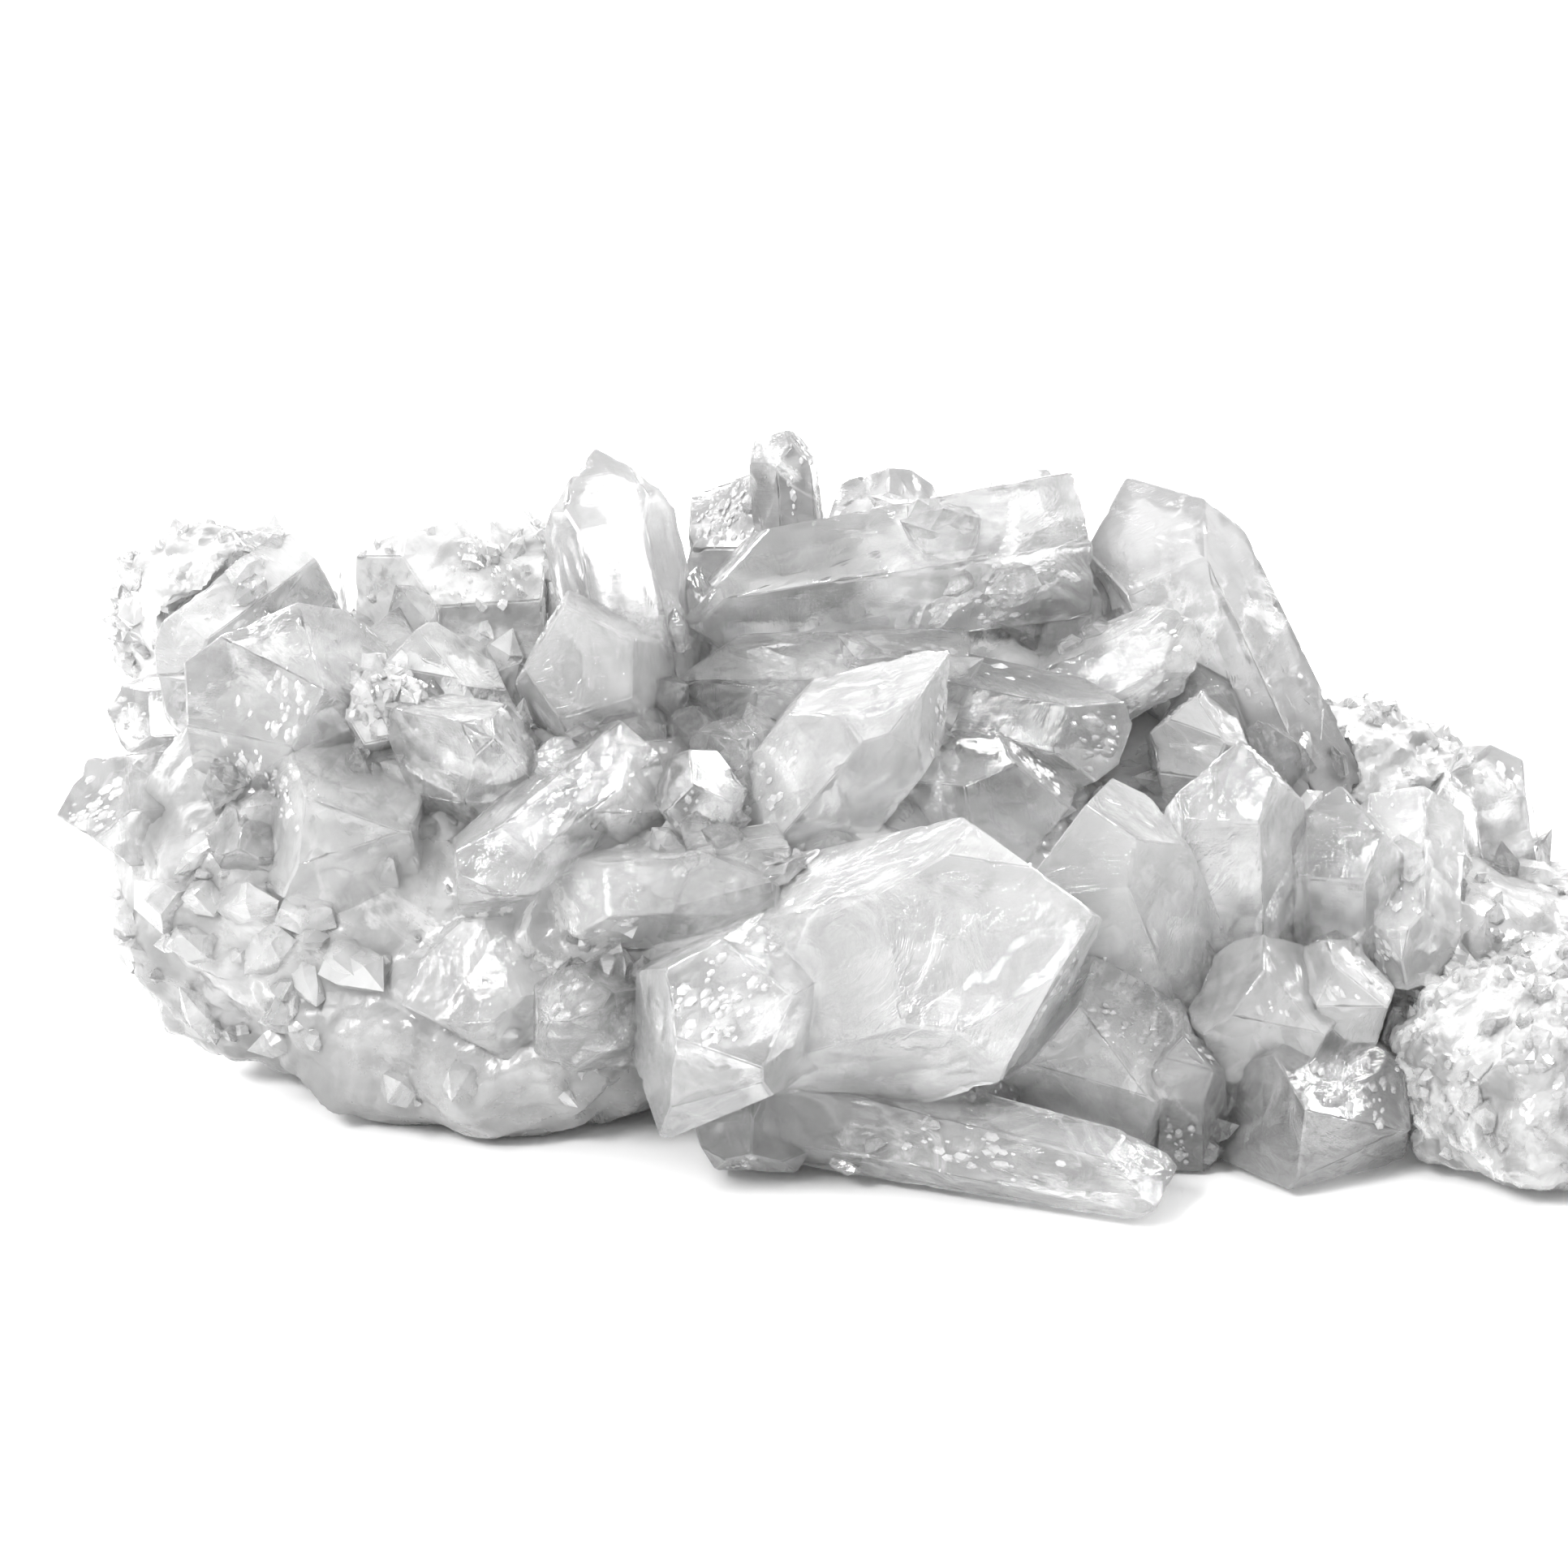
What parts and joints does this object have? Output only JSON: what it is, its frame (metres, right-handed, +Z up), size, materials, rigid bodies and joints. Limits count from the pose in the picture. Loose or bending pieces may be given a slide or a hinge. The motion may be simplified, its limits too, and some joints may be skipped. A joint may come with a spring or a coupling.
{
  "type": "quartz crystal cluster",
  "caption": "Natural cluster of clear and milky quartz crystals growing outwards from one lumpy quartz mass, wider than it is tall.",
  "frame": {"origin": "on the resting surface, under the middle of the cluster's box", "axes": "+X along the cluster's length, +Y to its back, +Z up"},
  "size_m": [0.1592, 0.0916, 0.062],
  "materials": {
    "clear_quartz": "clear and glassy, with veils and fractures inside",
    "milky_quartz": "milky, satin faces with fine growth lines",
    "mass_quartz": "matt to satin, granular"
  },
  "bodies": {
    "root": {"quartz_mass": "mass_quartz", "left_massive_lump": "milky_quartz", "back_right_grainy_lump": "milky_quartz", "right_end_grainy_lump": "milky_quartz", "biggest_front_crystal": "clear_quartz", "front_clear_block": "clear_quartz", "upright_milky_crystal": "milky_quartz", "sloping_face_crystal": "milky_quartz", "long_front_left_crystal": "clear_quartz", "head_on_crystal": "milky_quartz", "pale_low_crystal": "milky_quartz", "lying_rounded_crystal": "clear_quartz", "flecked_small_crystal": "clear_quartz", "low_front_prism": "milky_quartz", "long_base_crystal": "milky_quartz", "short_base_crystal": "milky_quartz", "long_centre_crystal": "clear_quartz", "window_crystal": "clear_quartz", "tall_clear_point": "clear_quartz", "centre_slab": "clear_quartz", "dark_facet_crystal": "clear_quartz", "light_lying_slab": "clear_quartz", "lying_wedge": "clear_quartz", "fractured_small_crystal": "clear_quartz", "deep_gap_crystal": "clear_quartz", "centre_gap_crystal": "clear_quartz", "long_tabular_crystal": "clear_quartz", "top_knob": "clear_quartz", "back_dome_left": "milky_quartz", "back_dome_right": "milky_quartz", "top_ridge_slab": "clear_quartz", "right_shoulder_crystal": "clear_quartz", "bright_rounded_crystal": "clear_quartz", "big_left_block": "milky_quartz", "glassy_left_point": "clear_quartz", "rounded_ledge_crystal": "clear_quartz", "drooping_grey_crystal": "milky_quartz", "back_left_shard": "milky_quartz", "left_gap_shard": "clear_quartz", "white_massive_crystal": "milky_quartz", "white_shoulder_crystal": "milky_quartz", "mid_left_block": "milky_quartz", "left_crest_shard": "clear_quartz", "left_middle_shard": "milky_quartz", "tall_right_crystal": "clear_quartz", "twin_left_crystal": "clear_quartz", "twin_right_crystal": "clear_quartz", "right_mid_block": "milky_quartz", "bright_drop_crystal": "clear_quartz", "right_low_block": "milky_quartz", "round_knob_crystal": "milky_quartz", "right_second_block": "milky_quartz", "right_upright_crystal": "clear_quartz", "right_end_point": "milky_quartz", "pocket_crystal": "clear_quartz", "right_middle_crystal": "milky_quartz", "back_left_point": "milky_quartz", "back_middle_block": "milky_quartz", "back_right_point": "milky_quartz", "back_end_point": "milky_quartz"}
  },
  "joints": []
}
